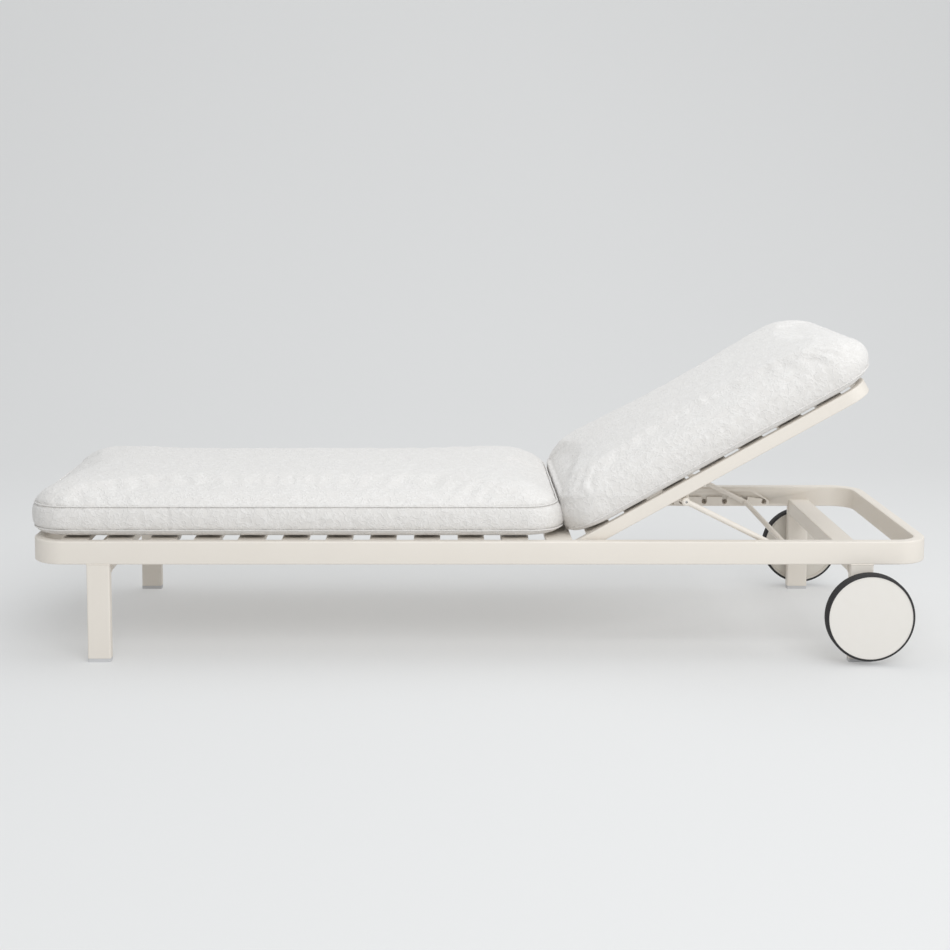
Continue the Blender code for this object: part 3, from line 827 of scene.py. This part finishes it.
def blown_up(name, rows, cap):
    """The cushion as a remeshed shell, swollen by air pressure between its fixed seams and underside. No
    point moves further than cap gives for it."""
    shell = piece_from(name, grid(rows, closed_across=True, capped=True), FABRIC)
    remesh = shell.modifiers.new("remesh", "REMESH")
    remesh.mode = "VOXEL"
    remesh.voxel_size = VOXEL
    baked(shell)
    start = [v.co.copy() for v in shell.data.vertices]
    pins = shell.vertex_groups.new(name="held")
    for i, p in enumerate(start):
        seam = min(abs(p.z - LOWER_SEAM), abs(p.z - UPPER_SEAM))
        hold = 1 - smooth_step(seam, SEAM_WIDTH * 0.5, SEAM_WIDTH)
        if p.z < LOWER_SEAM + 0.001:
            hold = 1.0
        pins.add([i], hold, "REPLACE")
    cover = shell.modifiers.new("cover", "CLOTH").settings
    cover.quality = 4
    cover.mass = 0.4
    cover.tension_stiffness = 12
    cover.compression_stiffness = 12
    cover.shear_stiffness = 6
    cover.bending_stiffness = 0.6
    cover.shrink_min = -0.012
    cover.use_pressure = True
    cover.uniform_pressure_force = 4
    cover.vertex_group_mass = "held"
    cover.effector_weights.gravity = 0
    scene = bpy.context.scene
    for number in range(1, SWELLING_FRAMES + 1):
        scene.frame_set(number)
    baked(shell)
    scene.frame_set(1)
    for v, p in zip(shell.data.vertices, start):
        move = v.co - p
        limit = cap(p)
        if move.length > limit:
            v.co = p + move.normalized() * limit
    return shell


def sewn(piece, depth, softness=0.55, cross_seams=()):
    """Refines the mesh once, draws the seams in by depth, puckers the fabric beside them and lets it ripple.
    A cross seam runs up the band at an X, on the side that is -1 or 1 along Y."""
    refine = piece.modifiers.new("refine", "SUBSURF")
    refine.levels = 1
    refine.render_levels = 1
    baked(piece)
    normals = [v.normal.copy() for v in piece.data.vertices]
    for v, normal in zip(piece.data.vertices, normals):
        p = v.co
        level = 1 - smooth_step(abs(normal.z), 0.75, 0.97)
        away = min(abs(p.z - LOWER_SEAM), abs(p.z - UPPER_SEAM))
        groove = depth * math.exp(-((away / 0.0045) ** 2)) * level
        run = p.x * abs(normal.y) + p.y * abs(normal.x)
        waver = noise.noise(Vector((p.x * 9, p.y * 9, p.z * 4)))
        pucker = math.sin(run / 0.0165 * math.tau + 5 * waver) * math.exp(-away / 0.012) * level
        ripple = noise.noise(p * 26) + 0.6 * noise.noise(p * 55 + Vector((7, 3, 1)))
        under = smooth_step(p.z, 0.002, 0.016)
        out = -groove + 0.00055 * pucker + softness * 0.0018 * ripple * under
        for x, side in cross_seams:
            if side * p.y > 0 and LOWER_SEAM < p.z < UPPER_SEAM:
                out -= 0.0022 * math.exp(-(((p.x - x) / 0.0042) ** 2)) * level
        v.co = p + normal * out * max(under, 0.15)
    piece.data.shade_smooth()
    return piece


def piping(name, piece, foot, head, half_width, corner, height, lean):
    """A covered cord sewn into a seam: it follows the cushion's own side at that height."""
    skin = BVHTree.FromPolygons(
        [v.co for v in piece.data.vertices], [f.vertices for f in piece.data.polygons]
    )
    middle_x = (head + foot) / 2
    half_x = (head - foot) / 2
    run = []
    outline = rounded_outline(half_x, half_width, corner, 14)
    for p in fine([(middle_x + x, y, height) for x, y in outline], 0.007):
        share = max(0.0, (p.x - middle_x) / half_x) ** 6
        on_skin = skin.find_nearest(p + Vector((share * lean(height), 0, 0)))[0]
        run.append(Vector((on_skin.x, on_skin.y, height + 0.0004 * noise.noise(p * 40))))
    outward = [Vector((p.x - middle_x, p.y, 0)).normalized() for p in run]
    smooth = []
    for i in range(len(run)):
        nearby = [run[(i + k) % len(run)] for k in (-2, -1, 0, 1, 2)]
        smooth.append(sum(nearby, Vector()) / len(nearby) + outward[i] * 0.0002)
    return piece_from(name, tube(smooth, PIPING_RADIUS, 8, closed=True), FABRIC, 80)


seat_low, seat_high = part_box("seat_cushion")

# the seat cushion, whose heights start at its own underside
SEAT_PROFILE = (
    (0.300, 0.0000), (0.200, 0.0000), (0.120, 0.0000), (0.060, 0.0000), (0.034, 0.0016), (0.015, 0.0065),
    (0.005, 0.0130), (0.0015, LOWER_SEAM), (0.0000, 0.0290), (-0.0015, 0.0450), (-0.0005, 0.0610),
    (0.0020, UPPER_SEAM), (0.0100, 0.0850), (0.0240, 0.0960), (0.0450, 0.1045), (0.0800, 0.1110),
    (0.1300, 0.1168), (0.2000, 0.1194), (0.3000, 0.1205),
)


def seat_lean(height):
    """The head end leans back a little towards the top, where the back cushion presses on it."""
    return -0.30 * max(0.0, height - 0.018) - 0.5 * max(0.0, 0.018 - height)


UNDERSIDE_CAP = 0.0015             # how far pressure may move the underside, the band and the top panel
BAND_CAP = 0.0045
SEAT_TOP_CAP = 0.0075
COVER_SLACK = 0.0006               # between a cushion's underside and the CAD's


def seat_cap(point):
    if point.z < LOWER_SEAM:
        return UNDERSIDE_CAP
    return BAND_CAP if point.z < UPPER_SEAM + 0.004 else SEAT_TOP_CAP


SEAT_FOOT = seat_low.x - 0.0095    # the covers bulge past the CAD's plain blocks at their ends
SEAT_HEAD = seat_high.x + 0.0165
SEAT_HALF = -seat_low.y - 0.0020
SEAT_CORNER = 0.092
SEAT_SEAM_DEPTH = 0.0030
seat_cushion = blown_up(
    "seat_cushion_cover",
    pillow_rows(SEAT_FOOT, SEAT_HEAD, SEAT_HALF, SEAT_CORNER, SEAT_PROFILE, seat_lean),
    seat_cap,
)
sewn(seat_cushion, SEAT_SEAM_DEPTH, cross_seams=((-0.7045, -1), (-0.30, 1)))
seat_pipes = [
    piping(
        f"seat_piping_{level}", seat_cushion,
        SEAT_FOOT, SEAT_HEAD, SEAT_HALF, SEAT_CORNER, height, seat_lean,
    )
    for level, height in (("lower", LOWER_SEAM), ("upper", UPPER_SEAM))
]
for made in (seat_cushion, *seat_pipes):
    made.data.transform(Matrix.Translation((0, 0, seat_low.z + COVER_SLACK)))
    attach(made, "base")
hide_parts("seat_cushion")

# the back cushion, made flat in the backrest's own frame and then set on it
BACK_UNDERSIDE = 0.0172            # of the CAD's block, out of the backrest's plane
BACK_FOOT = -0.0125                # up the backrest from its hinge
BACK_HEAD = 0.7880
BACK_CORNER_PLAN = 0.100
BACK_SEAM_DEPTH = 0.0008
BACK_TOP_CAP = 0.0085
BACK_PROFILE = (
    (0.300, 0.0000), (0.200, 0.0000), (0.120, 0.0000), (0.056, 0.0000), (0.032, 0.0014), (0.014, 0.0065),
    (0.004, 0.0130), (0.0010, LOWER_SEAM), (-0.0005, 0.0290), (-0.0020, 0.0450), (0.0000, 0.0610),
    (0.0040, UPPER_SEAM), (0.0120, 0.0880), (0.0270, 0.1005), (0.0500, 0.1095), (0.0840, 0.1155),
    (0.1400, 0.1190), (0.2000, 0.1206), (0.3000, 0.1214),
)


def back_cap(point):
    heel = point.x < BACK_FOOT + 0.05 and point.z < UPPER_SEAM + 0.02
    if point.z < LOWER_SEAM or heel:
        return UNDERSIDE_CAP
    return BAND_CAP if point.z < UPPER_SEAM else BACK_TOP_CAP


def back_lean(height):
    """The head end tucks in below, where it overhangs the last slat, and rounds over above."""
    return -0.55 * max(0.0, 0.036 - height) - 2.6 * max(0.0, height - 0.050) ** 2


back_cushion = blown_up(
    "back_cushion_cover",
    pillow_rows(BACK_FOOT, BACK_HEAD, SEAT_HALF, BACK_CORNER_PLAN, BACK_PROFILE, back_lean),
    back_cap,
)
for v in back_cushion.data.vertices:       # the lower end leans back where it meets the seat cushion
    near = 1 - smooth_step(v.co.x, BACK_FOOT, BACK_FOOT + 0.16)
    v.co.x += near * (0.20 * (v.co.z - 0.026) - 0.45 * max(0.0, v.co.z - 0.075))
sewn(back_cushion, BACK_SEAM_DEPTH, softness=0.7)
back_piping = piping(
    "back_piping_lower", back_cushion,
    BACK_FOOT, BACK_HEAD, SEAT_HALF, BACK_CORNER_PLAN, LOWER_SEAM, back_lean,
)
for made in (back_cushion, back_piping):
    made.data.transform(BACK_UP @ Matrix.Translation((0, 0, BACK_UNDERSIDE + COVER_SLACK)))
    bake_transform(made)
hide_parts("back_cushion")


# --- straps -----------------------------------------------------------------------------------------------
# Flat off-white webbing from the cushions' undersides, passed round a slat and pressed shut with a
# hook-and-loop end underneath. Two on each side hold the seat cushion, and two on each side the back cushion.
def webbing(where):
    rows = where.node("ShaderNodeTexWave", {"bands_direction": "X"}, {"Vector": where, "Scale": 130.0})
    picks = where.node("ShaderNodeTexWave", {"bands_direction": "Y"}, {"Vector": where, "Scale": 210.0})
    weave = 0.5 * rows.node("ShaderNodeSeparateColor", inputs={0: rows}) + 0.5 * picks.node(
        "ShaderNodeSeparateColor", inputs={0: picks}
    )
    return {
        "Base Color": between(weave, (0.56, 0.54, 0.51), (0.74, 0.725, 0.70)),
        "Roughness": 0.75 + 0.15 * speckle(where, 0.003),
        "Normal": relief(weave, 0.0004, 0.7),
    }


WEBBING = finish("off-white webbing", webbing, Sheen_Weight=0.15)
STRAP_WIDTH = 0.040
STRAP_THICK = 0.0012
STRAP_EASE = 0.0003                # between a slat and the strap round it
STRAP_CORNER = 0.0024
STRAP_Y = 0.270
FLAP_LENGTH = 0.046


def strap(name, place, width, thick, body):
    """A loop round a slat of that width and thickness, and its flap. The function place turns distances
    along, across and up from the slat's middle into a point."""
    half_width = width / 2 + STRAP_EASE
    half_thick = thick / 2 + STRAP_EASE
    outer = rounded_outline(half_width + STRAP_THICK, half_thick + STRAP_THICK, STRAP_CORNER + 0.0010, 5)
    inner = rounded_outline(half_width, half_thick, STRAP_CORNER, 5)
    bm = bmesh.new()
    rings = []
    for across in (-STRAP_WIDTH / 2, STRAP_WIDTH / 2):
        rings.append([[bm.verts.new(place(x, across, z)) for x, z in loop] for loop in (outer, inner)])
    count = len(outer)
    for i in range(count):
        k = (i + 1) % count
        (a_out, a_in), (b_out, b_in) = rings
        bm.faces.new((a_out[i], a_out[k], b_out[k], b_out[i]))
        bm.faces.new((a_in[i], b_in[i], b_in[k], a_in[k]))
        bm.faces.new((a_out[i], a_in[i], a_in[k], a_out[k]))
        bm.faces.new((b_out[i], b_out[k], b_in[k], b_in[i]))
    loop = piece_from(name, bm, WEBBING)
    flap_outline = rounded_outline(FLAP_LENGTH / 2, STRAP_WIDTH / 2 - 0.0006, 0.004)
    under = -thick / 2 - STRAP_EASE - STRAP_THICK
    faces = [
        [place(x + 0.004, y, under - depth) for x, y in flap_outline]
        for depth in (0.0001, 0.0001 + STRAP_THICK)
    ]
    flap = piece_from(f"{name}_flap", grid(faces, closed_across=True, capped=True), WEBBING)
    for made in (loop, flap):
        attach(made, body)


for number in (3, 11):
    low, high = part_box(f"seat_slat_{number:02d}")
    middle = (low + high) / 2
    for side, y in (("left", -STRAP_Y), ("right", STRAP_Y)):
        def on_seat(along, across, up, y=y, middle=middle):
            return Vector((middle.x + along, y + across, middle.z + up))
        strap(f"seat_strap_{number:02d}_{side}", on_seat, high.x - low.x, high.z - low.z, "base")

BACK_SLAT_FIRST = 0.052            # up the backrest from its hinge to the first slat's middle
BACK_SLAT_PITCH = 0.100
BACK_SLAT_WIDTH = 0.060
BACK_SLAT_THICK = 0.012
back_slat_height = (BACK_RAIL_TALL - BACK_SLAT_THICK) / 2
for number in (4, 7):
    s = BACK_SLAT_FIRST + (number - 1) * BACK_SLAT_PITCH
    for side, y in (("left", -STRAP_Y), ("right", STRAP_Y)):
        def on_back(along, across, up, y=y, s=s):
            return along_back(s + along, y + across, back_slat_height + up)
        strap(f"back_strap_{number}_{side}", on_back, BACK_SLAT_WIDTH, BACK_SLAT_THICK, "backrest")
